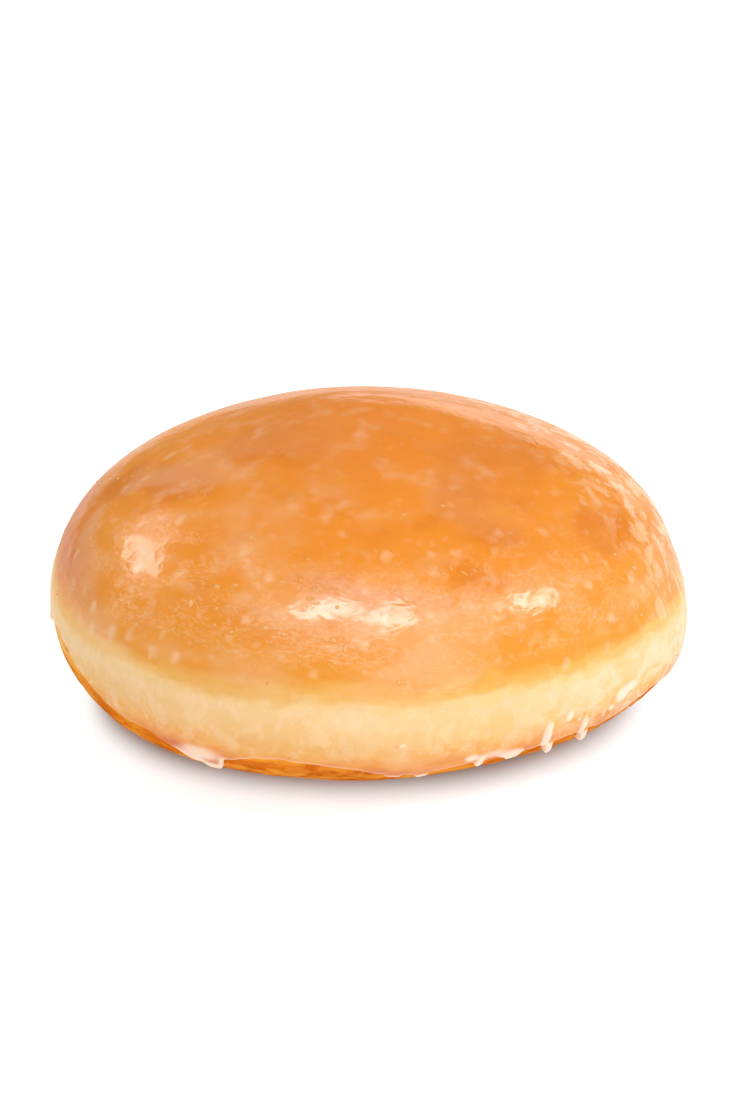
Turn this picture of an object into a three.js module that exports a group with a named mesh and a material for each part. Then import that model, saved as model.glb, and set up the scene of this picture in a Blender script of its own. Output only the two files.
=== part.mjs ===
// A glazed yeast doughnut without a hole, resting on its base.
// Millimetres, +Z up. The origin is on the surface it rests on, under the middle of the doughnut.
// Two pieces: the fried dough, and the sugar glaze that was poured over it and set.
import * as THREE from 'three';

// ---------------------------------------------------------------- driving dimensions
const RADIUS = 43.0;          // dough, from its middle to its side
const HEIGHT = 41.8;          // dough, from the surface it rests on to its crown
const GIRTH_HEIGHT = 14.5;    // where the side is widest
const FOOT_RADIUS = 17.6;     // flat underside that carries the weight
const GLAZE_GAP = 0.3;        // clearance between the dough and its glaze
const GLAZE_FILM = 0.42;      // glaze thickness away from its lower edge

// Fried dough is never quite round. These say how far it departs from a turned shape.
const DIAGONAL_STRETCH = 0.054;      // longer from back right to front left, share of the radius
const THREE_LOBES = 0.014;           // slightly three-sided seen from above, share of the radius
const GIRTH_TILT = [-2.5, 0.4];      // the widest line is lower on the right, higher at the back
const CROWN_SHIFT = [-1.1, 1.75];    // the crown leans this far over the base
const FOOT_SHIFT = [1.65, 1.05];     // the flat underside lies this far off the middle

// The slope below the widest line bulges in two places. at and half: middle and half width of the
// bulge, degrees. out: how far it stands out, mm.
const SLOPE_BULGES = [
  { at: 212, half: 30, out: 1.1 },
  { at: 325, half: 28, out: 0.4 },
];

// The dome is fuller than a half ellipse. Shares of its third and fifth waves.
const SHOULDER_FULLNESS = 0.131;
const SHOULDER_EASE = -0.038;
const CROWN_FLATNESS = -0.056;

// The glaze ends on the slope below the widest line. Its end is a share of the way from that line
// to the foot, and rises and falls in waves: how many go round, their size, and where one crests.
const GLAZE_END = 0.24;
const END_WAVES = [
  { count: 1, size: 0.012, crest: 290 },
  { count: 5, size: 0.02, crest: 309 },
  { count: 8, size: 0.033, crest: 286.5 },
];
const BARE_PATCH = { at: 202, half: 19, short: 0.285 };   // the glaze stopped short here
const EDGE_BEAD = { rise: 0.3, width: 0.055 };            // thicker along the very edge

// Drips that ran below the edge before the glaze set. at and half: middle and half width, degrees.
// reach: how far past the edge, as a share of the slope. rise: thickness added, mm.
const DRIPS = [
  { at: 12, half: 3.0, reach: 0.09, rise: 0.6 },
  { at: 34, half: 3.4, reach: 0.15, rise: 0.8 },
  { at: 61, half: 2.4, reach: 0.08, rise: 0.6 },
  { at: 88, half: 3.8, reach: 0.12, rise: 0.8 },
  { at: 112, half: 2.6, reach: 0.07, rise: 0.5 },
  { at: 131, half: 3.0, reach: 0.13, rise: 0.7 },
  { at: 158, half: 3.2, reach: 0.1, rise: 0.6 },
  { at: 181, half: 2.6, reach: 0.06, rise: 0.5 },
  { at: 241, half: 3.4, reach: 0.08, rise: 0.5 },
  { at: 275, half: 5.0, reach: 0.1, rise: 0.4 },
  { at: 290, half: 2.4, reach: 0.04, rise: 0.4 },
  { at: 297, half: 3.0, reach: 0.06, rise: 0.5 },
  { at: 306, half: 2.4, reach: 0.09, rise: 0.6 },
  { at: 314.6, half: 2.4, reach: 0.08, rise: 0.5 },
  { at: 337, half: 3.0, reach: 0.04, rise: 0.4 },
];

const DRIP_BULGE_UP = 0.35;     // a drip is thickest this share of its reach above its end
const DRIP_BULGE_HALF = 0.75;   // and thins to the film over this share of its reach

// Mesh divisions. The dome's rings are shared by the dough and both sides of the glaze, so that
// their facets lie parallel and the clearance between them stays even. A skirt of rings follows
// on each, down to the foot or down to the glaze's end.
const DOME_RINGS = 10;
const DOME_END = 0.9;
const DOUGH_SKIRT_RINGS = 8;
const GLAZE_SKIRT_RINGS = 5;
const DOUGH_SEGMENTS = 80;
const GLAZE_SEGMENTS = 128;

// ---------------------------------------------------------------- the dough's surface
const { sin, cos, exp, PI } = Math;
const rad = THREE.MathUtils.degToRad;

// 1 at the middle of a bulge, drip or patch, falling to 0 past its sides.
function nearness(spot, angle) {
  const apart = angle - rad(spot.at);
  const turned = Math.atan2(sin(apart), cos(apart));
  return exp(-((turned / rad(spot.half)) ** 2));
}

// angle runs round the doughnut from +X. way runs down it: 0 at the crown, 1 at the widest line,
// 2 at the rim of the flat foot.
function doughPoint(angle, way) {
  const plan = 1 + DIAGONAL_STRETCH * sin(2 * angle) + THREE_LOBES * cos(3 * angle);
  const girth = GIRTH_HEIGHT + GIRTH_TILT[0] * cos(angle) + GIRTH_TILT[1] * sin(angle);
  const onDome = way <= 1;
  const t = ((onDome ? way : way - 1) * PI) / 2;
  let radius, z, lean;
  if (onDome) {
    const out = sin(t) - SHOULDER_FULLNESS * sin(3 * t) + SHOULDER_EASE * sin(5 * t);
    const up = (cos(t) + CROWN_FLATNESS * cos(3 * t)) / (1 + CROWN_FLATNESS);
    radius = (RADIUS * out) / (1 + SHOULDER_FULLNESS + SHOULDER_EASE);
    z = girth + (HEIGHT - girth) * up;
    lean = CROWN_SHIFT.map((shift) => shift * up);
  } else {
    radius = FOOT_RADIUS + (RADIUS - FOOT_RADIUS) * cos(t);
    // sin² cos of t is 0 at both ends of the slope and 0.25 about a third of the way down it.
    const swell = (sin(t) ** 2 * cos(t)) / 0.25;
    for (const bulge of SLOPE_BULGES) radius += bulge.out * nearness(bulge, angle) * swell;
    z = girth * (1 - sin(t));
    lean = FOOT_SHIFT.map((shift) => shift * sin(t));
  }
  radius *= plan;
  return new THREE.Vector3(radius * cos(angle) + lean[0], radius * sin(angle) + lean[1], z);
}

// The way out of the dough at a point, from two short steps along its surface.
function outward(angle, way) {
  const step = 0.002;
  if (way < step) return new THREE.Vector3(0, 0, 1);
  const round = doughPoint(angle + step, way).sub(doughPoint(angle - step, way));
  const down = doughPoint(angle, way + step).sub(doughPoint(angle, way - step));
  return down.cross(round).normalize();
}

const offDough = (angle, way, distance) =>
  doughPoint(angle, way).addScaledVector(outward(angle, way), distance);

// ---------------------------------------------------------------- the glaze's end and thickness
function glazeEnd(angle) {
  let end = 1 + GLAZE_END - BARE_PATCH.short * nearness(BARE_PATCH, angle);
  for (const wave of END_WAVES) end += wave.size * cos(wave.count * (angle - rad(wave.crest)));
  for (const drip of DRIPS) end += drip.reach * nearness(drip, angle);
  return end;
}

function glazeThickness(angle, way) {
  const aboveEnd = glazeEnd(angle) - way;
  let thickness = GLAZE_FILM + EDGE_BEAD.rise * exp(-((aboveEnd / EDGE_BEAD.width) ** 2));
  for (const drip of DRIPS) {
    const aboveBulge = aboveEnd - DRIP_BULGE_UP * drip.reach;
    const alongRun = exp(-((aboveBulge / (DRIP_BULGE_HALF * drip.reach)) ** 2));
    thickness += drip.rise * nearness(drip, angle) * alongRun;
  }
  return thickness;
}

// ---------------------------------------------------------------- pieces
// A sphere's grid, each of its points put where place(angle, row) says. Row 0 is the top pole.
function reshapedSphere(segments, rows, place) {
  const geometry = new THREE.SphereGeometry(1, segments, rows);
  const { position, uv } = geometry.attributes;
  for (let i = 0; i < position.count; i++) {
    const row = Math.round((1 - uv.getY(i)) * rows);
    const isPole = row === 0 || row === rows;
    const angle = isPole ? 0 : 2 * PI * uv.getX(i);
    position.setXYZ(i, ...place(angle, row).toArray());
  }
  geometry.deleteAttribute('uv');
  geometry.computeVertexNormals();
  return geometry;
}

// How far down row lies when the skirt's rings spread evenly from the dome's end to lowest.
function wayDown(row, skirtRings, lowest) {
  if (row <= DOME_RINGS) return (DOME_END * row) / DOME_RINGS;
  return DOME_END + ((lowest - DOME_END) * (row - DOME_RINGS)) / skirtRings;
}

function friedDough() {
  const footRim = DOME_RINGS + DOUGH_SKIRT_RINGS;
  const footCentre = new THREE.Vector3(FOOT_SHIFT[0], FOOT_SHIFT[1], 0);
  const place = (angle, row) =>
    row > footRim ? footCentre : doughPoint(angle, wayDown(row, DOUGH_SKIRT_RINGS, 2));
  const crust = new THREE.MeshStandardMaterial({ color: 0xc67b34, roughness: 0.75, metalness: 0 });
  const mesh = new THREE.Mesh(reshapedSphere(DOUGH_SEGMENTS, footRim + 1, place), crust);
  mesh.name = 'fried_dough';
  return mesh;
}

// One closed skin: down the outside to the dripping edge, round it, and back up the inside.
function sugarGlaze() {
  const edge = DOME_RINGS + GLAZE_SKIRT_RINGS;
  const rows = 2 * edge + 1;
  const place = (angle, row) => {
    const isOutside = row <= edge;
    const way = wayDown(isOutside ? row : rows - row, GLAZE_SKIRT_RINGS, glazeEnd(angle));
    return offDough(angle, way, GLAZE_GAP + (isOutside ? glazeThickness(angle, way) : 0));
  };
  const sugar = new THREE.MeshStandardMaterial({ color: 0xf0a050, roughness: 0.25, metalness: 0 });
  const mesh = new THREE.Mesh(reshapedSphere(GLAZE_SEGMENTS, rows, place), sugar);
  mesh.name = 'sugar_glaze';
  return mesh;
}

// ---------------------------------------------------------------- assembly
const doughnut = new THREE.Group();
doughnut.add(friedDough(), sugarGlaze());

// Centre the whole over the origin, standing on it.
const bounds = new THREE.Box3().setFromObject(doughnut, true);
const middle = bounds.getCenter(new THREE.Vector3());
doughnut.position.set(-middle.x, -middle.y, -bounds.min.z);

export default doughnut;
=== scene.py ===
import math

import bpy
import numpy as np
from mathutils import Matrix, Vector, noise


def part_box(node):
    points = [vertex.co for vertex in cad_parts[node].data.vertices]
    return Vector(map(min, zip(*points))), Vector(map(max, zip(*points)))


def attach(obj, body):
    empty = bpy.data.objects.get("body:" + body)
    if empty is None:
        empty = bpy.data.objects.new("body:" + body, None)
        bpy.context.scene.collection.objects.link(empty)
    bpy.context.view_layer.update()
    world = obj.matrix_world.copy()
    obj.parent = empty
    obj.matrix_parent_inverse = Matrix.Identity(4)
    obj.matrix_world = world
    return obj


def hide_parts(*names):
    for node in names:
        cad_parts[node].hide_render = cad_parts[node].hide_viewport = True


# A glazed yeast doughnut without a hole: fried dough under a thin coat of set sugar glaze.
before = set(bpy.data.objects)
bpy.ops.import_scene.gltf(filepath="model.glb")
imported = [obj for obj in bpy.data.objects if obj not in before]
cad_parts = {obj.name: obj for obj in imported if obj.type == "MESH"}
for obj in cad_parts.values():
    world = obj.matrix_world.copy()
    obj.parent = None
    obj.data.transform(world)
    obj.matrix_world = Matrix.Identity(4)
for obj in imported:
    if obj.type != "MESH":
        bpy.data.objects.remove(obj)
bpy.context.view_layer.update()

# ------------------------------------------------------------------ fried dough
# Yeast dough, cut round, proved and fried floating in oil, first on one side and then on the
# other. The oil browns it above and below and leaves a pale proof line round the side. Its
# weight flattens it a little where it stands.

MM = 0.001                              # a millimetre, in metres
dough_radius = 43.0 * MM
dough_height = 41.8 * MM
girth_height = 14.5 * MM                # where the side is widest
foot_radius = 17.6 * MM
diagonal_stretch = 0.054                # shares of the radius by which the plan isn't round
three_lobes = 0.014
girth_tilt = (-2.5 * MM, 0.4 * MM)      # the widest line drops to the right and rises to the back
crown_shift = (-1.1 * MM, 1.75 * MM)
foot_shift = (1.65 * MM, 1.05 * MM)
shoulder_fullness = 0.131               # shares of the dome's third and fifth waves
shoulder_ease = -0.038
crown_flatness = -0.056
# The slope below the widest line bulges: at and half width in degrees, how far out.
slope_bulges = [(212, 30, 1.1 * MM), (325, 28, 0.4 * MM)]
waist_at = 8.5 * MM                     # the dome draws in a little here, over the proof line
waist_half = 3.2 * MM
waist_depth = 0.35 * MM                 # on the right, and a fifth of it on the left
crown_fill = 0.97 * MM                  # rounds off the crown's slopes
crown_filled = 9.0 * MM                 # most of all this far from its middle
wrinkle_depth = 0.25 * MM               # wrinkled and dented where it is bare
wrinkle_size = 2.4 * MM
dent_depth = 0.2 * MM
dent_size = 7.0 * MM
full_ring = 720                         # points in a skin's longest rings


def apart_from(angle, degrees):
    """Signed angle from a direction given in degrees, in radians."""
    away = angle - math.radians(degrees)
    return np.arctan2(np.sin(away), np.cos(away))


def dough_surface(angle, way):
    """Points on the dough. way is 0 at the crown, 1 at the widest line and 2 at the foot's rim."""
    on_dome = way <= 1
    turn = np.where(on_dome, way, way - 1) * math.pi / 2
    plan = 1 + diagonal_stretch * np.sin(2 * angle) + three_lobes * np.cos(3 * angle)
    girth = girth_height + girth_tilt[0] * np.cos(angle) + girth_tilt[1] * np.sin(angle)
    out = np.sin(turn) - shoulder_fullness * np.sin(3 * turn) + shoulder_ease * np.sin(5 * turn)
    out /= 1 + shoulder_fullness + shoulder_ease
    up = (np.cos(turn) + crown_flatness * np.cos(3 * turn)) / (1 + crown_flatness)
    down = np.sin(turn)
    slope_radius = foot_radius + (dough_radius - foot_radius) * np.cos(turn)
    for at, half, out_by in slope_bulges:
        bulge = out_by * np.exp(-((apart_from(angle, at) / math.radians(half)) ** 2))
        # down ** 2 * cos is 0 at both ends of the slope and 0.25 about a third of the way down it.
        slope_radius = slope_radius + bulge * down ** 2 * np.cos(turn) / 0.25
    height = np.where(on_dome, girth + (dough_height - girth) * up, girth * (1 - down))
    radius = np.where(on_dome, dough_radius * out, slope_radius) * plan
    pinch = waist_depth * np.exp(-(((height - girth - waist_at) / waist_half) ** 2))
    radius -= np.where(on_dome, pinch * (0.6 + 0.4 * np.cos(angle)), 0)
    off_crown = (radius / crown_filled) ** 2
    height += np.where(on_dome, crown_fill * off_crown * np.exp(-off_crown), 0)
    lean = [np.where(on_dome, crown_shift[i] * up, foot_shift[i] * down) for i in (0, 1)]
    x = radius * np.cos(angle) + lean[0]
    y = radius * np.sin(angle) + lean[1]
    return np.stack([x, y, height], axis=-1)


def outward(angle, way):
    """The way out of the dough at each point."""
    step = 0.002
    way = np.maximum(way, step)
    around = dough_surface(angle + step, way) - dough_surface(angle - step, way)
    down = dough_surface(angle, way + step) - dough_surface(angle, way - step)
    normal = np.cross(down, around)
    return normal / np.linalg.norm(normal, axis=-1, keepdims=True)


def lumps(points, size, seed):
    """Smooth random unevenness, about -1 to 1, with lumps of the given size. Each seed gives
    another stretch of it."""
    start = Vector((seed * 17.3, seed * 5.1, seed * 9.7))
    return np.array([noise.noise(Vector(point) / size + start) for point in points])


# The whole doughnut is centred on the frame's origin, so the surface above is moved over it.
grid = np.meshgrid(np.linspace(0, 2 * math.pi, 721), np.linspace(0, 2, 401))
grid_points = dough_surface(*grid).reshape(-1, 3)
grid_middle = (grid_points.min(0) + grid_points.max(0)) / 2
dough_low, dough_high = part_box("fried_dough")
centring = np.array((dough_low + dough_high) / 2) - grid_middle
centring[2] = 0


def spread_angles(count, crowding=()):
    """Angles round the doughnut, closer together near each (angle, half width, extra)."""
    dense = np.linspace(0, 2 * math.pi, 20001)
    weight = np.ones_like(dense)
    for at, half, extra in crowding:
        apart = np.arctan2(np.sin(dense - at), np.cos(dense - at))
        weight += extra * np.exp(-((apart / half) ** 2))
    travelled = np.concatenate([[0], np.cumsum((weight[1:] + weight[:-1]) / 2)])
    return np.interp(np.linspace(0, travelled[-1], count, endpoint=False), travelled, dense)


def close_rings(rings, top, bottom):
    """Vertices and faces of a closed skin: a pole, rings of points, and a pole.
    From one ring to the next the number of points stays, doubles or halves."""
    vertices = np.concatenate([[top]] + rings + [[bottom]])
    start = 1
    count = len(rings[0])
    faces = [(0, start + i, start + (i + 1) % count) for i in range(count)]
    for ring, next_ring in zip(rings, rings[1:]):
        count, next_count = len(ring), len(next_ring)
        next_start = start + count
        for i in range(min(count, next_count)):
            if count == next_count:
                after = (i + 1) % count
                faces.append((start + i, next_start + i, next_start + after, start + after))
                continue
            # Three triangles fill the space between one point's step and two finer ones.
            coarse, fine = (start, next_start) if count < next_count else (next_start, start)
            here, after = coarse + i, coarse + (i + 1) % min(count, next_count)
            left, mid = fine + 2 * i, fine + 2 * i + 1
            right = fine + (2 * i + 2) % max(count, next_count)
            if count < next_count:
                faces += [(here, left, mid), (here, mid, after), (after, mid, right)]
            else:
                faces += [(here, mid, left), (here, after, mid), (after, right, mid)]
        start = next_start
    count = len(rings[-1])
    end = len(vertices) - 1
    faces += [(end, start + (i + 1) % count, start + i) for i in range(count)]
    return vertices, faces


def ring_step(way, eighth, quarter, half):
    """Rings need fewer points nearer the crown: 8, 4 or 2 for every 8th, 4th or 2nd point of a
    full ring on rings above each of the three limits, and 1 for all of its points below them."""
    for limit, step in ((eighth, 8), (quarter, 4), (half, 2)):
        if way < limit:
            return step
    return 1


def make_mesh(name, vertices, faces, marks=None):
    """A smooth mesh object at the origin; marks are named numbers, one for each vertex."""
    mesh = bpy.data.meshes.new(name)
    mesh.from_pydata(vertices.tolist(), [], faces)
    mesh.shade_smooth()
    for mark, values in (marks or {}).items():
        mesh.attributes.new(mark, "FLOAT", "POINT").data.foreach_set("value", values)
    piece = bpy.data.objects.new(name, mesh)
    bpy.context.scene.collection.objects.link(piece)
    return piece


dough_angles = spread_angles(full_ring)
dough_rings = []
for way in np.concatenate([np.linspace(0.05, 0.9, 24), np.linspace(0.93, 1.98, 84)]):
    angle = dough_angles[:: ring_step(way, 0.15, 0.45, 0.93)]
    way = np.full(len(angle), way)
    points = dough_surface(angle, way)
    # Wrinkled where it is bare, and pressed flat towards the foot.
    bare = np.clip((way - 0.95) / 0.2, 0, 1) * np.clip((2 - way) / 0.25, 0, 1)
    relief = -wrinkle_depth * np.abs(lumps(points, wrinkle_size, 1))
    relief += dent_depth * lumps(points, dent_size, 2)
    points += outward(angle, way) * (relief * bare)[:, None] + centring
    points[:, 2] = np.maximum(points[:, 2], 0)
    dough_rings.append(points)
foot_centre = np.array([foot_shift[0], foot_shift[1], 0]) + centring
rim = dough_surface(dough_angles, np.full(full_ring, 2.0)) + centring
for share, step in ((1, 1), (0.97, 1), (0.9, 2), (0.7, 4), (0.4, 8)):
    dough_rings.append(foot_centre + (rim[::step] - foot_centre) * share)
crown = dough_surface(np.zeros(1), np.zeros(1))[0] + centring
dough = make_mesh("doughnut_dough", *close_rings(dough_rings, crown, foot_centre))


def add_node(tree, kind, values=None, **settings):
    """Adds a node. values maps an input to a value or to another node's output."""
    node = tree.nodes.new(kind)
    for name, setting in settings.items():
        setattr(node, name, setting)
    for name, value in (values or {}).items():
        if isinstance(value, bpy.types.NodeSocket):
            tree.links.new(value, node.inputs[name])
        else:
            node.inputs[name].default_value = value
    return node


def calculate(tree, operation, first, second=0.0):
    return add_node(tree, "ShaderNodeMath", {0: first, 1: second}, operation=operation).outputs[0]


def times(tree, first, second):
    return calculate(tree, "MULTIPLY", first, second)


def rise(tree, value, low, high, to_low=0.0, to_high=1.0, ease="SMOOTHSTEP"):
    """Goes from to_low to to_high as value goes from low to high."""
    values = {0: value, 1: low, 2: high, 3: to_low, 4: to_high}
    return add_node(tree, "ShaderNodeMapRange", values, interpolation_type=ease).outputs[0]


def stretched(tree, place, around, down):
    """place with X and Y scaled by around and Z by down. Patches on it come out shorter where it
    is scaled up and longer where it is scaled down."""
    values = {0: place, 1: (around, around, down)}
    return add_node(tree, "ShaderNodeVectorMath", values, operation="MULTIPLY").outputs[0]


def mottle(tree, place, size, detail=2.0, roughness=0.5, distortion=0.0):
    """Random patches, 0 to 1, of the given size in the units of place."""
    values = {
        "Vector": place, "Scale": 1 / size, "Detail": detail,
        "Roughness": roughness, "Distortion": distortion,
    }
    return add_node(tree, "ShaderNodeTexNoise", values).outputs[0]


def blend_colours(tree, share, first, second):
    """The first colour where share is 0, and the second where it is 1."""
    mix = add_node(tree, "ShaderNodeMix", data_type="RGBA")
    for socket, value in ((mix.inputs[0], share), (mix.inputs[6], first), (mix.inputs[7], second)):
        if isinstance(value, bpy.types.NodeSocket):
            tree.links.new(value, socket)
        else:
            socket.default_value = value
    return mix.outputs[2]


def colour(red, green, blue):
    return (red, green, blue, 1.0)


def colour_steps(tree, value, steps):
    """A colour for each value, smooth between steps, which are (value, colour) in order."""
    ramp = add_node(tree, "ShaderNodeValToRGB", {0: value})
    ramp.color_ramp.interpolation = "EASE"
    while len(ramp.color_ramp.elements) < len(steps):
        ramp.color_ramp.elements.new(0.5)
    for element, (position, tint) in zip(ramp.color_ramp.elements, steps):
        element.position = position
        element.color = tint
    return ramp.outputs[0]


# How the fried crust is coloured, by its height over the widest line in millimetres. The dough
# and the glaze over it both use this group, because the glaze is clear enough to show it.
crust_steps = [
    (-14.0, colour(0.36, 0.075, 0.006)),
    (-9.0, colour(0.46, 0.09, 0.005)),
    (-6.5, colour(0.62, 0.135, 0.008)),
    (-5.0, colour(0.79, 0.255, 0.02)),
    (-3.2, colour(0.88, 0.40, 0.075)),
    (-0.5, colour(0.90, 0.50, 0.17)),
    (2.2, colour(0.92, 0.555, 0.24)),
    (3.4, colour(0.90, 0.54, 0.20)),
    (4.6, colour(0.88, 0.44, 0.09)),
    (6.7, colour(0.86, 0.31, 0.025)),
    (12.0, colour(0.86, 0.285, 0.021)),
    (20.0, colour(0.85, 0.26, 0.015)),
    (28.0, colour(0.80, 0.225, 0.014)),
]
lowest_step, highest_step = crust_steps[0][0], crust_steps[-1][0]

crust_group = bpy.data.node_groups.new("fried crust", "ShaderNodeTree")
crust_group.interface.new_socket("Colour", in_out="OUTPUT", socket_type="NodeSocketColor")
crust_group.interface.new_socket("Millimetres", in_out="OUTPUT", socket_type="NodeSocketVector")
crust_group.interface.new_socket("Height", in_out="OUTPUT", socket_type="NodeSocketFloat")
metres = add_node(crust_group, "ShaderNodeTexCoord").outputs["Object"]
scaling = {0: metres, "Scale": 1 / MM}
place = add_node(crust_group, "ShaderNodeVectorMath", scaling, operation="SCALE").outputs[0]
xyz = add_node(crust_group, "ShaderNodeSeparateXYZ", {0: place}).outputs
tilt_x = times(crust_group, xyz["X"], -girth_tilt[0] / dough_radius)
tilt_y = times(crust_group, xyz["Y"], -girth_tilt[1] / dough_radius)
level = calculate(crust_group, "ADD", xyz["Z"], tilt_x)
level = calculate(crust_group, "ADD", level, tilt_y)
level = calculate(crust_group, "SUBTRACT", level, girth_height / MM)
# Patches are longer than they are high, so that the proof line wavers in long low waves.
streaky = stretched(crust_group, place, 1.0, 2.2)
wide_waver = rise(crust_group, mottle(crust_group, streaky, 14.0, 1.0), 0.25, 0.75, -0.8, 0.8)
fine_waver = rise(crust_group, mottle(crust_group, streaky, 4.0, 3.0), 0.25, 0.75, -0.55, 0.55)
wavering = calculate(crust_group, "ADD", level, wide_waver)
wavering = calculate(crust_group, "ADD", wavering, fine_waver)
# Painted shade: below the line the darker browns reach further up on the right and on the far left.
right = times(crust_group, rise(crust_group, xyz["X"], 12.0, 40.0), rise(
    crust_group, level, 0.0, -2.5, 0, 2.0))
far_left_shade = times(crust_group, rise(crust_group, xyz["X"], -30.0, -39.0), rise(
    crust_group, level, -1.6, -3.6, 0, 2.6))
for shade_lift in (right, far_left_shade):
    wavering = calculate(crust_group, "SUBTRACT", wavering, shade_lift)
share = rise(crust_group, wavering, lowest_step, highest_step, ease="LINEAR")
steps = [((at - lowest_step) / (highest_step - lowest_step), tint) for at, tint in crust_steps]
crust_colour = colour_steps(crust_group, share, steps)
# The browned top and bottom are cloudy with deeper and lighter patches.
off_line = calculate(crust_group, "ABSOLUTE", calculate(crust_group, "SUBTRACT", wavering, 1.0))
browned = rise(crust_group, off_line, 4.0, 9.0)
clouds = mottle(crust_group, streaky, 15.0, 4.0, 0.5, 0.3)
deeper = times(crust_group, rise(crust_group, clouds, 0.49, 0.66, 0, 0.95), rise(
    crust_group, level, 11.0, 17.0, 0.2, 1.0))
deeper = times(crust_group, deeper, browned)
crust_colour = blend_colours(crust_group, deeper, crust_colour, colour(0.74, 0.195, 0.004))
# Painted shade: the low dome is darker at its left and right ends, where less light reaches it.
shaded_ends = calculate(crust_group, "MAXIMUM", rise(crust_group, xyz["X"], -33.0, -42.0, 0, 0.9), rise(
    crust_group, xyz["X"], 36.0, 42.0, 0, 0.4))
shaded_ends = times(crust_group, shaded_ends, rise(crust_group, level, 22.0, 15.0))
shaded_ends = times(crust_group, shaded_ends, rise(crust_group, wavering, 4.5, 10.0))
crust_colour = blend_colours(crust_group, shaded_ends, crust_colour, colour(0.62, 0.125, 0.005))
lighter = times(crust_group, rise(crust_group, clouds, 0.47, 0.3, 0, 0.4), browned)
crust_colour = blend_colours(crust_group, lighter, crust_colour, colour(0.90, 0.31, 0.035))
# Below the proof line it is browned in long streaks.
streaks = mottle(crust_group, streaky, 6.0, 4.0, 0.6, 0.5)
streaks = times(crust_group, rise(crust_group, level, -0.5, -3.5), rise(
    crust_group, streaks, 0.45, 0.62, 0, 0.6))
crust_colour = blend_colours(crust_group, streaks, crust_colour, colour(0.86, 0.32, 0.04))
results = {"Colour": crust_colour, "Millimetres": place, "Height": level}
add_node(crust_group, "NodeGroupOutput", results)


def new_material(name):
    material = bpy.data.materials.new(name)
    material.use_nodes = True
    material.node_tree.nodes.clear()
    return material, material.node_tree


def add_crust(tree):
    group = tree.nodes.new("ShaderNodeGroup")
    group.node_tree = crust_group
    return group.outputs


dough_material, tree = new_material("fried dough")
crust = add_crust(tree)
# Pored and wrinkled, with pale flecks, and painted shade darkening it down in the wrinkles.
pores = mottle(tree, crust["Millimetres"], 0.55, 3.0, 0.6)
wrinkles = mottle(tree, crust["Millimetres"], 1.8, 4.0, 0.6, 0.8)
height = calculate(tree, "ADD", times(tree, pores, 0.4), wrinkles)
bump = add_node(tree, "ShaderNodeBump", {"Strength": 0.9, "Distance": 0.25 * MM, "Height": height})
pale = rise(tree, mottle(tree, crust["Millimetres"], 3.2, 3.0, 0.6, 0.6), 0.45, 0.62, 0, 0.4)
tint = blend_colours(tree, pale, crust["Colour"], colour(0.82, 0.34, 0.04))
wrinkle_shade = rise(tree, wrinkles, 0.5, 0.3, 0, 0.35)
skin = {
    "Base Color": blend_colours(tree, wrinkle_shade, tint, colour(0.45, 0.12, 0.02)),
    "Roughness": 0.6,
    "Specular IOR Level": 0.0,
    "Subsurface Weight": 0.15,
    "Subsurface Radius": (1.0, 0.4, 0.12),
    "Subsurface Scale": 1.5 * MM,
    "Normal": bump.outputs[0],
}
shader = add_node(tree, "ShaderNodeBsdfPrincipled", skin)
add_node(tree, "ShaderNodeOutputMaterial", {"Surface": shader.outputs[0]})
dough.data.materials.append(dough_material)
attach(dough, "root")
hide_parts("fried_dough")

# ------------------------------------------------------------------ sugar glaze
# Icing sugar and water, poured over the warm doughnut and left to set as a thin clear shell. It
# ran down past the widest line and stopped in an uneven edge, thicker than the rest, with drips
# below it. Air under it and sugar in it set as pale flecks.

glaze_gap = 0.04 * MM
glaze_film = 0.64 * MM
edge_film = 0.3 * MM                    # it thins to this along its edge
thinning = 9.0 * MM                     # within this distance
edge_bead = 0.14 * MM                   # but it is heaped up this much along the very edge
edge_bead_half = 0.9 * MM
lip = 0.4 * MM                          # and rounds over within this distance
wave_depth = 0.25 * MM                  # it set in broad waves, with ripples and crinkles on them
wave_size = 17.0 * MM
ripple_depth = 0.07 * MM
ripple_size = 7.0 * MM
crinkle_depth = 0.03 * MM
crinkle_size = 2.4 * MM
calm_edge = 3.0 * MM                    # the waves die out within this distance of its edge
white_heap = 0.3 * MM                   # heaped up this much, it is white with sugar
furthest_mark = 20.0                    # above_edge tells the edge's distance up to this, in mm
skirt_start = 0.9                       # the way where the mesh starts to follow the edge
glaze_end = 0.25                        # share of the way from the widest line to the foot
end_waves = [(1, 0.012, 290), (5, 0.02, 309), (8, 0.033, 286.5)]  # count, size, crest in degrees
# Where it ran further or, below 0, stopped short: at and half width in degrees, and how far as a
# share of the slope.
sags = [(202, 19, -0.285), (231, 5, -0.05), (251, 8, -0.07), (274, 9, 0.11), (333, 11, -0.13)]

drip_bulge_up = 0.3                     # a drip is thickest this share of its reach over its end
drip_bulge_half = 0.8                   # and thins to the film over this share of its reach
# Drips: at and half width in degrees, reach as a share of the slope, thickness added in mm.
drips = [
    (12, 1.2, 0.07, 0.3), (34, 1.5, 0.13, 0.4), (61, 1.0, 0.07, 0.3), (88, 1.8, 0.1, 0.4),
    (112, 1.1, 0.06, 0.3), (131, 1.3, 0.11, 0.4), (158, 1.6, 0.08, 0.3), (181, 1.1, 0.05, 0.3),
    (240.0, 3.6, 0.05, 0.12), (241.5, 1.9, 0.03, 0.25), (273.2, 1.5, 0.02, 0.15),
    (278.5, 1.3, 0.035, 0.2), (289.8, 0.9, 0.03, 0.2), (296.8, 1.6, 0.03, 0.2),
    (305.2, 0.8, 0.07, 0.35), (314.2, 0.75, 0.08, 0.3),
]
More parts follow.
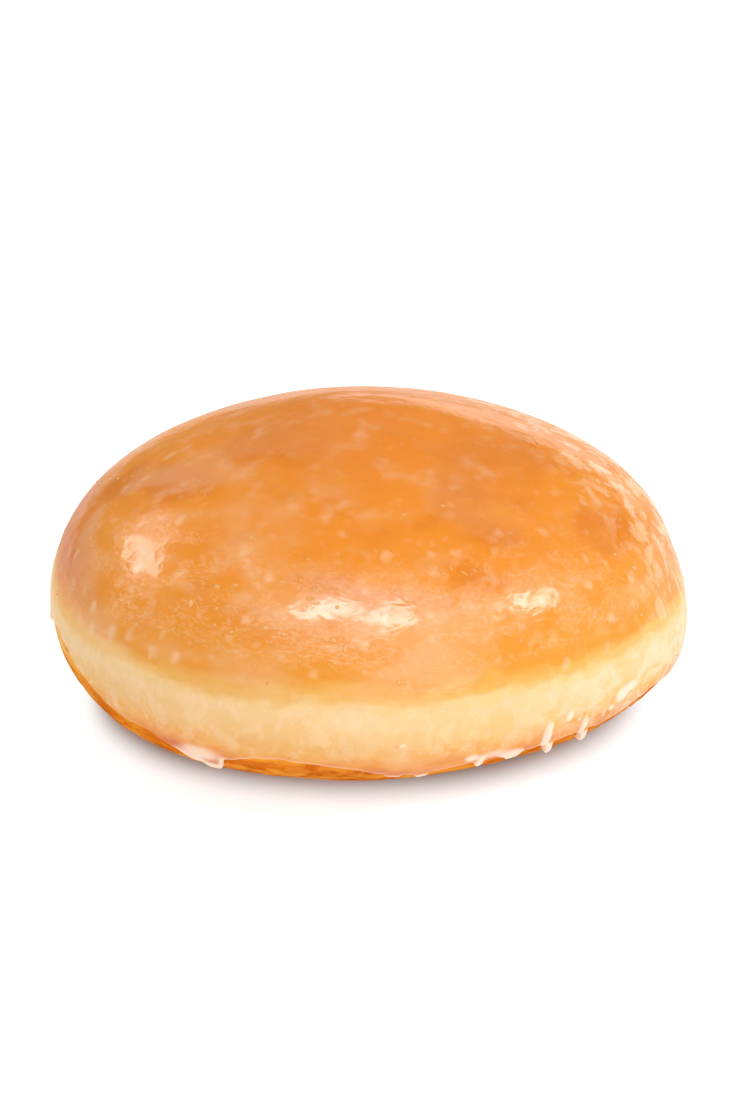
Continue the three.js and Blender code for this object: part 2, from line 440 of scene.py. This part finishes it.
# Beads of sugar that set where they were: at in degrees, way, half width and half length in mm,
# turn in degrees, rise in mm.
beads = [
    (236.8, 1.1, 0.5, 1.3, 20, 0.16), (240.2, 1.24, 3.6, 2.3, 8, 0.26),
    (240.8, 1.06, 0.7, 0.5, 30, 0.18), (275.2, 1.06, 0.65, 0.45, 0, 0.26),
    (287.8, 1.22, 1.2, 0.8, 25, 0.28), (289.8, 1.27, 0.6, 1.1, 0, 0.28),
    (292.4, 1.21, 2.4, 1.0, 8, 0.22), (296.6, 1.25, 1.8, 1.0, 10, 0.28),
    (304.0, 1.17, 0.75, 2.2, -12, 0.4), (304.2, 1.1, 0.5, 0.9, 30, 0.28),
    (305.2, 1.29, 0.95, 0.9, 0, 0.34), (309.0, 1.06, 0.75, 0.9, 20, 0.3),
    (311.5, 1.1, 0.55, 0.5, 0, 0.24), (313.2, 1.17, 0.65, 1.7, -8, 0.36),
    (314.2, 1.28, 0.85, 0.8, 0, 0.32), (318.2, 1.13, 0.45, 0.8, 10, 0.24),
    (320.2, 1.11, 0.9, 0.5, 30, 0.28), (323.2, 1.04, 1.5, 1.0, 12, 0.4),
    (326.4, 1.01, 1.6, 0.7, 14, 0.3), (330.5, 1.2, 1.4, 0.5, 10, 0.22),
    (150.0, 1.1, 0.9, 0.6, 10, 0.25), (78.0, 1.15, 1.2, 0.6, -10, 0.25),
    (25.0, 1.08, 0.7, 0.9, 0, 0.28),
]
# Where it pooled and set smooth and glossy: at in degrees, way, half width and half length in mm,
# turn in degrees.
pools = [
    (220.5, 0.69, 4.6, 3.0, 12), (229.0, 0.69, 2.4, 1.5, 0), (248.0, 0.7, 2.0, 1.2, 10),
    (255.0, 0.69, 2.6, 1.4, 12), (265.0, 0.725, 4.2, 2.2, 4), (275.0, 0.745, 4.2, 2.0, 6),
    (298.0, 0.77, 2.2, 1.3, -14), (308.0, 0.76, 3.4, 1.9, -18), (321.0, 0.785, 1.8, 1.0, 0),
]


def finger(angle, at, half):
    """1 across a drip, falling to 0 past its sides, with a blunt end."""
    return np.exp(-(apart_from(angle, at) / math.radians(half)) ** 6)


def find_glaze_end(angle):
    """The way where the glaze ends, at each angle."""
    end = np.full(len(angle), 1 + glaze_end)
    for at, half, further in sags:
        end += further * np.exp(-(apart_from(angle, at) / math.radians(half)) ** 2)
    for count, size, crest in end_waves:
        end += size * np.cos(count * (angle - math.radians(crest)))
    for at, half, reach, _ in drips:
        end += reach * finger(angle, at, half)
    # Ragged in longer and shorter stretches, whose sizes are shares of the radius.
    ragged = np.stack([np.cos(angle), np.sin(angle), 0 * angle], axis=-1)
    return end + 0.014 * lumps(ragged, 0.06, 3) + 0.008 * lumps(ragged, 0.02, 4)


# The mesh is finer round the drips and beads.
crowding = []
for at, half, *_ in drips:
    crowding.append((math.radians(at), math.radians(min(2.4 * half, half + 2)), 1.6))
for at, *_ in beads:
    crowding.append((math.radians(at), math.radians(2.5), 0.6))
glaze_angles = spread_angles(full_ring, crowding)
glaze_ends = find_glaze_end(glaze_angles)
# How far down the side 1 of way is, in metres, at each angle.
side = dough_surface(glaze_angles, np.full(full_ring, 1.15))
below = dough_surface(glaze_angles, np.full(full_ring, 1.16))
slope_per_way = np.linalg.norm(below - side, axis=-1) / 0.01


def bead_shape(points, at, way, half, length, turn):
    """1 on top of a bead, falling to 0 round its sides."""
    angle = math.radians(at)
    middle, beside, under = dough_surface(
        np.array([angle, angle + 0.01, angle]), np.array([way, way, way + 0.01]))
    around = (beside - middle) / np.linalg.norm(beside - middle)
    down = (under - middle) / np.linalg.norm(under - middle)
    across, along = (points - middle) @ around / MM, (points - middle) @ down / MM
    cosine, sine = math.cos(math.radians(turn)), math.sin(math.radians(turn))
    across, along = across * cosine + along * sine, along * cosine - across * sine
    # Points on the doughnut's other side can have the same across and along.
    close_by = np.linalg.norm(points - middle, axis=-1) < 12 * MM
    return close_by * np.exp(-np.hypot(across / half, along / length) ** 3)


def glaze_thickness(points, angle, way, end, slope):
    """Thickness of the glaze, and how much of it is heaped up in beads and drips, 0 to 1."""
    above = (end - way) * slope
    film = edge_film + (glaze_film - edge_film) * np.clip(above / thinning, 0, 1)
    heap = edge_bead * np.exp(-((above / edge_bead_half) ** 2))
    for at, half, reach, thick in drips:
        up = (end - way - drip_bulge_up * reach) / (drip_bulge_half * reach)
        heap = heap + thick * MM * finger(angle, at, half) * np.exp(-(up ** 2))
    for *bead, thick in beads:
        heap = heap + thick * MM * bead_shape(points, *bead)
    rounding = np.sqrt(np.clip(1 - (1 - np.clip(above / lip, 0, 1)) ** 2, 0, 1))
    return (film + heap) * rounding, np.clip(heap / white_heap, 0, 1)


def under_glaze(angle, way):
    return dough_surface(angle, way) + outward(angle, way) * glaze_gap + centring


# The outer skin's rings, down the dome and then down to the edge, and the inner skin's back up.
shell_rings = []
for way in np.arange(1, 101) / 101 * skirt_start:
    step = ring_step(way, 0.1, 0.2, 0.4)
    shell_rings.append((np.full(full_ring // step, way), step))
for share in np.concatenate([np.linspace(0, 0.9, 28), 1 - 0.1 * np.linspace(0.86, 0, 10) ** 1.6]):
    shell_rings.append((skirt_start + (glaze_ends - skirt_start) * share, 1))

outer_rings, outer_marks = [], []
for way, step in shell_rings:
    angle, end, slope = glaze_angles[::step], glaze_ends[::step], slope_per_way[::step]
    base = dough_surface(angle, way)
    thickness, heaped = glaze_thickness(base, angle, way, end, slope)
    above = (end - way) * slope
    uneven = -wave_depth * (0.4 + 0.5 * lumps(base, wave_size, 5))
    uneven += ripple_depth * lumps(base * (1, 1, 1.8), ripple_size, 6)
    uneven += crinkle_depth * lumps(base, crinkle_size, 7)
    lift = glaze_gap + thickness + uneven * np.clip(above / calm_edge, 0, 1)
    outer_rings.append(base + outward(angle, way) * lift[:, None] + centring)
    pooled = np.max([bead_shape(base, *pool) for pool in pools], axis=0)
    outer_marks.append(np.stack([np.clip(above / MM, 0, furthest_mark), heaped, pooled], axis=-1))

under_rings = []
for share, step in ((0.97, 1), (0.8, 2), (0.5, 2), (0.2, 4)):
    way = skirt_start + (glaze_ends - skirt_start) * share
    under_rings.append(under_glaze(glaze_angles, way)[::step])
for way in np.linspace(0.85, 0.1, 14):
    angle = glaze_angles[:: 4 if way > 0.5 else 8]
    under_rings.append(under_glaze(angle, np.full(len(angle), way)))

crown_out = outer_rings[0].mean(0)
crown_in = crown + np.array([0, 0, glaze_gap])
vertices, faces = close_rings(outer_rings + under_rings, crown_out, crown_in)
marks = np.zeros((len(vertices), 3))
marks[0] = (furthest_mark, 0, 0)
marks[1 : 1 + sum(len(ring) for ring in outer_rings)] = np.concatenate(outer_marks)
glaze_marks = {"above_edge": marks[:, 0], "heaped": marks[:, 1], "pooled": marks[:, 2]}
glaze = make_mesh("doughnut_glaze", vertices, faces, glaze_marks)

glaze_material, tree = new_material("sugar glaze")
crust = add_crust(tree)
place, level = crust["Millimetres"], crust["Height"]
above_edge = add_node(tree, "ShaderNodeAttribute", attribute_name="above_edge").outputs["Fac"]
heaped = add_node(tree, "ShaderNodeAttribute", attribute_name="heaped").outputs["Fac"]
pooled = add_node(tree, "ShaderNodeAttribute", attribute_name="pooled").outputs["Fac"]
milky = colour(0.97, 0.69, 0.47)

# Millimetres wrapped round the dome: X and Y go round its side, and Z runs from crown to edge.
flat_place = stretched(tree, place, 1, 0)
from_axis = add_node(tree, "ShaderNodeVectorMath", {0: flat_place}, operation="LENGTH")
sideways = add_node(tree, "ShaderNodeVectorMath", {0: flat_place}, operation="NORMALIZE").outputs[0]
xyz = add_node(tree, "ShaderNodeSeparateXYZ", {0: place}).outputs
run_down = calculate(tree, "SUBTRACT", xyz["Z"], from_axis.outputs["Value"])
run_down = add_node(tree, "ShaderNodeCombineXYZ", {"Z": run_down}).outputs[0]
wrapped = {0: sideways, 1: (dough_radius / MM,) * 3, 2: run_down}
wrapped = add_node(tree, "ShaderNodeVectorMath", wrapped, operation="MULTIPLY_ADD").outputs[0]
flattened = stretched(tree, place, 1, 1.9)

# Cloudy smears, most of them on the left: partly sugar that set milky and partly a painted sheen,
# the pale veil of light the glaze reflects there.
leftward = times(tree, rise(tree, xyz["X"], 26.0, -8.0, 0.2, 1.0), rise(
    tree, level, 27.0, 19.0, 0.3, 1.0))
smears_and_sheen = rise(tree, mottle(tree, flattened, 13.0, 3.0, 0.5, 0.3), 0.45, 0.66, 0, 0.2)
body = blend_colours(tree, times(tree, smears_and_sheen, leftward), crust["Colour"], milky)
blotches = rise(tree, mottle(tree, flattened, 4.4, 2.0, 0.5, 0.2), 0.52, 0.78, 0, 0.17)
body = blend_colours(tree, times(tree, blotches, rise(tree, level, 5.0, 9.0)), body, milky)

# Towards the back right it was poured over last and set in short pale strokes, partly pale sugar
# and partly a painted reflection of light caught there.
towards = {0: place, 1: (0.75, 0.66, 0)}
towards = add_node(tree, "ShaderNodeVectorMath", towards, operation="DOT_PRODUCT").outputs["Value"]
strokes_and_glints = rise(tree, mottle(tree, place, 3.2, 4.0, 0.65, 0.4), 0.49, 0.6, 0, 0.68)
strokes_and_glints = times(tree, strokes_and_glints, rise(tree, towards, 10.0, 30.0))
strokes_and_glints = times(tree, strokes_and_glints, rise(tree, level, 5.0, 12.0))
body = blend_colours(tree, strokes_and_glints, body, colour(0.97, 0.66, 0.40))

# Pale specks of sugar, most of them on the lower half of the dome.
bent = times(tree, mottle(tree, place, 1.6, 1.0), 1.6)
bent = add_node(tree, "ShaderNodeVectorMath", {0: place, 1: bent}, operation="ADD").outputs[0]
low_dome = times(tree, rise(tree, level, 25.0, 12.0, 0.3, 1.0), rise(
    tree, level, 3.0, 7.0, 0.15, 1.0))
for size, share in ((2.9, 0.48), (1.7, 0.22)):
    cells = add_node(tree, "ShaderNodeTexVoronoi", {"Vector": bent, "Scale": 1 / size}).outputs
    chance = add_node(tree, "ShaderNodeSeparateXYZ", {0: cells["Color"]}).outputs["X"]
    speck = times(tree, rise(tree, cells["Distance"], 0.38, 0.1), rise(
        tree, chance, 0.3, 0.9, 0, share))
    body = blend_colours(tree, times(tree, speck, low_dome), body, colour(0.97, 0.62, 0.38))

# Painted reflection: fine pale streaks down the steep sides, where the glaze ran, stand in for
# light caught in its runs.
sides = calculate(tree, "MAXIMUM", rise(tree, xyz["X"], 33.0, 41.0), rise(
    tree, xyz["X"], -39.0, -43.0, 0, 0.2))
run_reflections = mottle(tree, stretched(tree, wrapped, 1, 0.3), 2.3, 2.0, 0.6)
run_reflections = rise(tree, run_reflections, 0.5, 0.6, 0, 0.55)
run_reflections = times(tree, run_reflections, times(tree, rise(tree, level, 2.0, 6.0), rise(tree, level, 18.0, 9.0)))
body = blend_colours(tree, times(tree, run_reflections, sides), body, colour(0.97, 0.65, 0.40))

# The pale band is mottled with thicker and thinner sugar.
on_band = times(tree, rise(tree, level, 5.0, 2.5), rise(tree, level, -5.5, -2.5))
wisps = mottle(tree, stretched(tree, place, 1, 0.8), 2.8, 4.0, 0.65, 0.6)
wisps = rise(tree, wisps, 0.46, 0.6, 0, 0.4)
body = blend_colours(tree, times(tree, wisps, on_band), body, colour(0.98, 0.64, 0.36))
whiter = rise(tree, mottle(tree, flattened, 6.0, 3.0, 0.6, 0.8), 0.42, 0.56, 0, 0.45)
whiter = times(tree, times(tree, whiter, on_band), rise(tree, xyz["X"], 12.0, 34.0))
body = blend_colours(tree, whiter, body, colour(0.98, 0.73, 0.52))

# White with sugar in the drips and along the edge, except on the far left.
edge_white = times(tree, rise(tree, above_edge, 0.7, 0.15, 0, 0.5), rise(
    tree, xyz["X"], -27.0, -23.0, 0.1, 1.0))
edge_white = calculate(tree, "MAXIMUM", edge_white, rise(tree, heaped, 0.35, 1.0, 0, 0.9))
body = blend_colours(tree, edge_white, body, colour(0.98, 0.73, 0.56))

# Its shine is smooth in some places and crackled like frost in others.
ripple = calculate(tree, "SUBTRACT", mottle(tree, flattened, 3.0, 2.0, 0.5, 0.4), 0.5)
ripple = times(tree, ripple, rise(tree, pooled, 0.0, 1.0, 1.0, 1.3))
frost = mottle(tree, stretched(tree, wrapped, 1, 1.7), 0.8, 3.0, 0.75, 0.6)
frost = calculate(tree, "SUBTRACT", frost, 0.5)
frost_where = rise(tree, mottle(tree, flattened, 6.0, 3.0, 0.6), 0.4, 0.5, 0.0, 1.2)
frost_where = times(tree, frost_where, rise(tree, pooled, 0.15, 0.7, 1.0, 0.15))
frost_where = times(tree, frost_where, rise(tree, xyz["Y"], -12.0, -24.0, 0.2, 1.0))
frost_where = times(tree, frost_where, times(tree, rise(tree, level, 6.0, 9.5), rise(
    tree, level, 21.0, 15.0, 0.08, 1.0)))
# Painted highlight: pale crackle lines round the highlights stand in for glints of light on the
# frosted glaze.
crackle_glints = times(tree, rise(tree, frost, 0.0, 0.07, 0, 0.22), frost_where)
crackle_glints = times(tree, crackle_glints, rise(tree, xyz["X"], -39.0, -31.0))
body = blend_colours(tree, crackle_glints, body, colour(0.98, 0.58, 0.30))
relief = {"Strength": 1.0, "Distance": 0.1 * MM}
rippled = add_node(tree, "ShaderNodeBump", {**relief, "Height": ripple})
height = calculate(tree, "ADD", ripple, times(tree, frost, frost_where))
frosted = add_node(tree, "ShaderNodeBump", {**relief, "Height": height})
sheen = rise(tree, mottle(tree, place, 4.5, 3.0), 0.35, 0.65, 0.34, 0.5)
shell = {
    "Base Color": body,
    "Roughness": sheen,
    "IOR": 1.45,
    "Specular IOR Level": 0.0,
    "Subsurface Weight": 0.2,
    "Subsurface Radius": (1.0, 0.4, 0.12),
    "Subsurface Scale": 2.0 * MM,
    "Coat Weight": 0.34,
    "Coat Roughness": 0.15,
    "Coat IOR": 2.3,
    "Normal": rippled.outputs[0],
    "Coat Normal": frosted.outputs[0],
}
shader = add_node(tree, "ShaderNodeBsdfPrincipled", shell)
add_node(tree, "ShaderNodeOutputMaterial", {"Surface": shader.outputs[0]})
glaze.data.materials.append(glaze_material)
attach(glaze, "root")
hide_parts("sugar_glaze")

# ------------------------------------------------------------------ sugar grains
# Grains of sugar that never dissolved. They stuck where the glaze ran thick over the lower part
# of the dome, and set into it as small pale lumps.

grain_density = 0.08 / MM ** 2          # where they lie closest
smallest_grain = 0.12 * MM              # half their width
largest_grain = 0.42 * MM
patch_size = 8.0 * MM

girth_here = girth_height + (vertices @ (*girth_tilt, 0)) / dough_radius
over_girth = (vertices[:, 2] - girth_here) / MM
# They lie 4 to 24 mm over the widest line, closest at 9 to 12 mm, and gather in patches.
share = np.clip((over_girth - 4) / 5, 0, 1) * np.clip((24 - over_girth) / 12, 0, 1)
share *= np.clip(lumps(vertices, patch_size, 8) * 3 + 0.5, 0.06, 1)
share[marks[:, 0] == 0] = 0             # none on the glaze's inner skin
bed = make_mesh("grain_bed", vertices, faces, {"grain_share": share})


def group_input(tree, name, kind):
    tree.interface.new_socket(name, in_out="INPUT", socket_type=kind)


scatter = bpy.data.node_groups.new("scatter sugar grains", "GeometryNodeTree")
group_input(scatter, "Geometry", "NodeSocketGeometry")
group_input(scatter, "Density", "NodeSocketFloat")
group_input(scatter, "Smallest", "NodeSocketFloat")
group_input(scatter, "Largest", "NodeSocketFloat")
group_input(scatter, "Seed", "NodeSocketInt")
group_input(scatter, "Material", "NodeSocketMaterial")
scatter.interface.new_socket("Geometry", in_out="OUTPUT", socket_type="NodeSocketGeometry")
given = add_node(scatter, "NodeGroupInput").outputs
named = {"Name": "grain_share"}
named = add_node(scatter, "GeometryNodeInputNamedAttribute", named, data_type="FLOAT")
closeness = times(scatter, named.outputs["Attribute"], given["Density"])
spots = {"Mesh": given["Geometry"], "Density": closeness, "Seed": given["Seed"]}
spots = add_node(scatter, "GeometryNodeDistributePointsOnFaces", spots).outputs
grain = add_node(scatter, "GeometryNodeMeshUVSphere", {"Segments": 8, "Rings": 5, "Radius": 1.0})
size = {2: given["Smallest"], 3: given["Largest"], "Seed": 1}
size = add_node(scatter, "FunctionNodeRandomValue", size, data_type="FLOAT").outputs[1]
shape = {0: (0.8, 0.5, 0.1), 1: (1.6, 1.0, 0.2), "Seed": 2}
shape = add_node(scatter, "FunctionNodeRandomValue", shape, data_type="FLOAT_VECTOR").outputs[0]
shape = add_node(scatter, "ShaderNodeVectorMath", {0: shape, "Scale": size}, operation="SCALE")
spin = {2: 0.0, 3: 2 * math.pi, "Seed": 3}
spin = add_node(scatter, "FunctionNodeRandomValue", spin, data_type="FLOAT").outputs[1]
spin = {"Axis": (0, 0, 1), "Angle": spin}
spin = add_node(scatter, "FunctionNodeAxisAngleToRotation", spin).outputs[0]
turned = {"Rotation": spots["Rotation"], "Rotate By": spin}
turned = add_node(scatter, "FunctionNodeRotateRotation", turned, rotation_space="LOCAL").outputs[0]
grains = {"Points": spots["Points"], "Instance": grain.outputs["Mesh"], "Rotation": turned}
grains = add_node(scatter, "GeometryNodeInstanceOnPoints", {**grains, "Scale": shape.outputs[0]})
grains = add_node(scatter, "GeometryNodeRealizeInstances", {"Geometry": grains.outputs[0]})
grains = add_node(scatter, "GeometryNodeSetShadeSmooth", {"Geometry": grains.outputs[0]})
grains = {"Geometry": grains.outputs[0], "Material": given["Material"]}
grains = add_node(scatter, "GeometryNodeSetMaterial", grains)
add_node(scatter, "NodeGroupOutput", {"Geometry": grains.outputs[0]})

grain_material, tree = new_material("sugar grains")
place = add_crust(tree)["Millimetres"]
cloudy = rise(tree, mottle(tree, place, 0.8, 2.0), 0.35, 0.65)
lump = {
    "Base Color": blend_colours(tree, cloudy, colour(0.89, 0.35, 0.075), colour(0.93, 0.46, 0.18)),
    "Roughness": rise(tree, mottle(tree, place, 0.3, 2.0), 0.3, 0.7, 0.25, 0.5),
    "Specular IOR Level": 0.15,
    "Subsurface Weight": 0.3,
    "Subsurface Radius": (1.0, 0.5, 0.25),
    "Subsurface Scale": 0.6 * MM,
}
shader = add_node(tree, "ShaderNodeBsdfPrincipled", lump)
add_node(tree, "ShaderNodeOutputMaterial", {"Surface": shader.outputs[0]})

modifier = bed.modifiers.new("scatter", "NODES")
modifier.node_group = scatter
sockets = {}
for item in scatter.interface.items_tree:
    if item.in_out == "INPUT":
        sockets[item.name] = item.identifier
modifier[sockets["Density"]] = grain_density
modifier[sockets["Smallest"]] = smallest_grain
modifier[sockets["Largest"]] = largest_grain
modifier[sockets["Seed"]] = 5
modifier[sockets["Material"]] = grain_material
scattered = bed.evaluated_get(bpy.context.evaluated_depsgraph_get())
grains = bpy.data.objects.new("doughnut_sugar_grains", bpy.data.meshes.new_from_object(scattered))
bpy.context.scene.collection.objects.link(grains)
bpy.data.objects.remove(bed)
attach(grains, "root")

# ------------------------------------------------------------------ floor, light and camera
# A glowing white board under a soft white sky, with a painted shadow round the doughnut, warm near
# it;
# the board brightens away from the doughnut. Four bright rounded panels hang over it, a low broad
# one stands behind, and a large weak one at the front right.

# Painted shadow: the board's glow is dimmer within this oval.
shadow_middle = (-1.2 * MM, 3.0 * MM, 0)        # the board is darker within this oval
shadow_half_width = 36.8 * MM
shadow_half_depth = 30.7 * MM
shadow_turn = math.radians(6)
side_softness = 0.365                           # its soft edge's width at the sides, front being 1
camera_elevation = math.radians(21.4)
camera_distance = 391.5 * MM
view_middle = Vector((-0.8 * MM, 0.1 * MM, 21.3 * MM))

bpy.ops.mesh.primitive_plane_add(size=4.0)
floor = bpy.context.object
floor.name = "floor"
floor_material, tree = new_material("white board")
metres = add_node(tree, "ShaderNodeTexCoord").outputs["Object"]
away = add_node(tree, "ShaderNodeVectorMath", {0: metres}, operation="LENGTH").outputs["Value"]
# Places as shares of the oval's half width and half depth, so that its outline is at length 1.
oval = {
    "Vector": metres, "Location": shadow_middle, "Rotation": (0, 0, shadow_turn),
    "Scale": (shadow_half_width, shadow_half_depth, 1),
}
oval = add_node(tree, "ShaderNodeMapping", oval, vector_type="TEXTURE").outputs[0]
spread = add_node(tree, "ShaderNodeVectorMath", {0: oval}, operation="LENGTH").outputs["Value"]
# Millimetres beyond its outline, with less for each at the front and back.
steepness = (MM / shadow_half_width, MM / (side_softness * shadow_half_depth), 0)
steepness = {0: oval, 1: steepness}
steepness = add_node(tree, "ShaderNodeVectorMath", steepness, operation="MULTIPLY").outputs[0]
steepness = add_node(tree, "ShaderNodeVectorMath", {0: steepness}, operation="LENGTH")
beyond = times(tree, calculate(tree, "SUBTRACT", spread, 1.0), spread)
beyond = calculate(tree, "DIVIDE", beyond, steepness.outputs["Value"])
# Painted shadow: the glow dims within the oval's soft edge and turns warm deep in it, like light
# bounced off the doughnut.
shadow_warmth = rise(tree, beyond, -2.4, 1.0)
board = {
    "Base Color": colour(0.35, 0.35, 0.35),
    "Roughness": 0.8,
    "Specular IOR Level": 0.1,
    "Emission Color": blend_colours(tree, shadow_warmth, colour(1, 0.62, 0.5), colour(1, 1, 1)),
    "Emission Strength": calculate(tree, "ADD", rise(tree, beyond, -2.4, 2.9, 0, 0.88), rise(
        tree, away, 0.04, 0.4, 0, 0.25)),
}
board = add_node(tree, "ShaderNodeBsdfPrincipled", board)
add_node(tree, "ShaderNodeOutputMaterial", {"Surface": board.outputs[0]})
floor.data.materials.append(floor_material)

world = bpy.data.worlds.new("soft sky")
world.use_nodes = True
world.node_tree.nodes["Background"].inputs["Color"].default_value = colour(1, 1, 1)
world.node_tree.nodes["Background"].inputs["Strength"].default_value = 0.34
bpy.context.scene.world = world


def soft_panel(name, position, size, brightness):
    """A rounded panel facing the doughnut; brightness is the radiance of its face."""
    data = bpy.data.lights.new(name, "AREA")
    data.shape = "ELLIPSE"
    data.size, data.size_y = size
    area = size[0] * size[1] * math.pi / 4
    data.energy = brightness * math.pi * area
    panel = bpy.data.objects.new(name, data)
    panel.location = position
    panel.rotation_mode = "QUATERNION"
    panel.rotation_quaternion = (-Vector(position)).to_track_quat("-Z", "Y")
    bpy.context.scene.collection.objects.link(panel)


soft_panel("panel_left", (-0.85, 0.47, 0.83), (0.8, 0.3), 5.9)
soft_panel("panel_front", (0.06, -0.46, 1.05), (0.56, 0.25), 10.0)
soft_panel("panel_front_right", (0.45, -0.53, 0.92), (0.3, 0.34), 10.0)
soft_panel("panel_right", (1.43, -0.14, 0.92), (0.56, 0.4), 9.0)
soft_panel("panel_back_right", (0.5, 1.86, 0.3), (1.35, 0.4), 1.9)
soft_panel("panel_side", (1.6, -1.6, 1.3), (1.8, 1.8), 1.6)

camera_data = bpy.data.cameras.new("camera")
camera_data.lens = 93.5
camera = bpy.data.objects.new("camera", camera_data)
towards_camera = Vector((0, -math.cos(camera_elevation), math.sin(camera_elevation)))
camera.location = view_middle + camera_distance * towards_camera
aim = view_middle + Vector((0, 0, 0.7 * MM))
camera.rotation_mode = "QUATERNION"
camera.rotation_quaternion = (aim - camera.location).to_track_quat("-Z", "Y")
bpy.context.scene.collection.objects.link(camera)
bpy.context.scene.camera = camera
bpy.context.scene.view_settings.view_transform = "Standard"
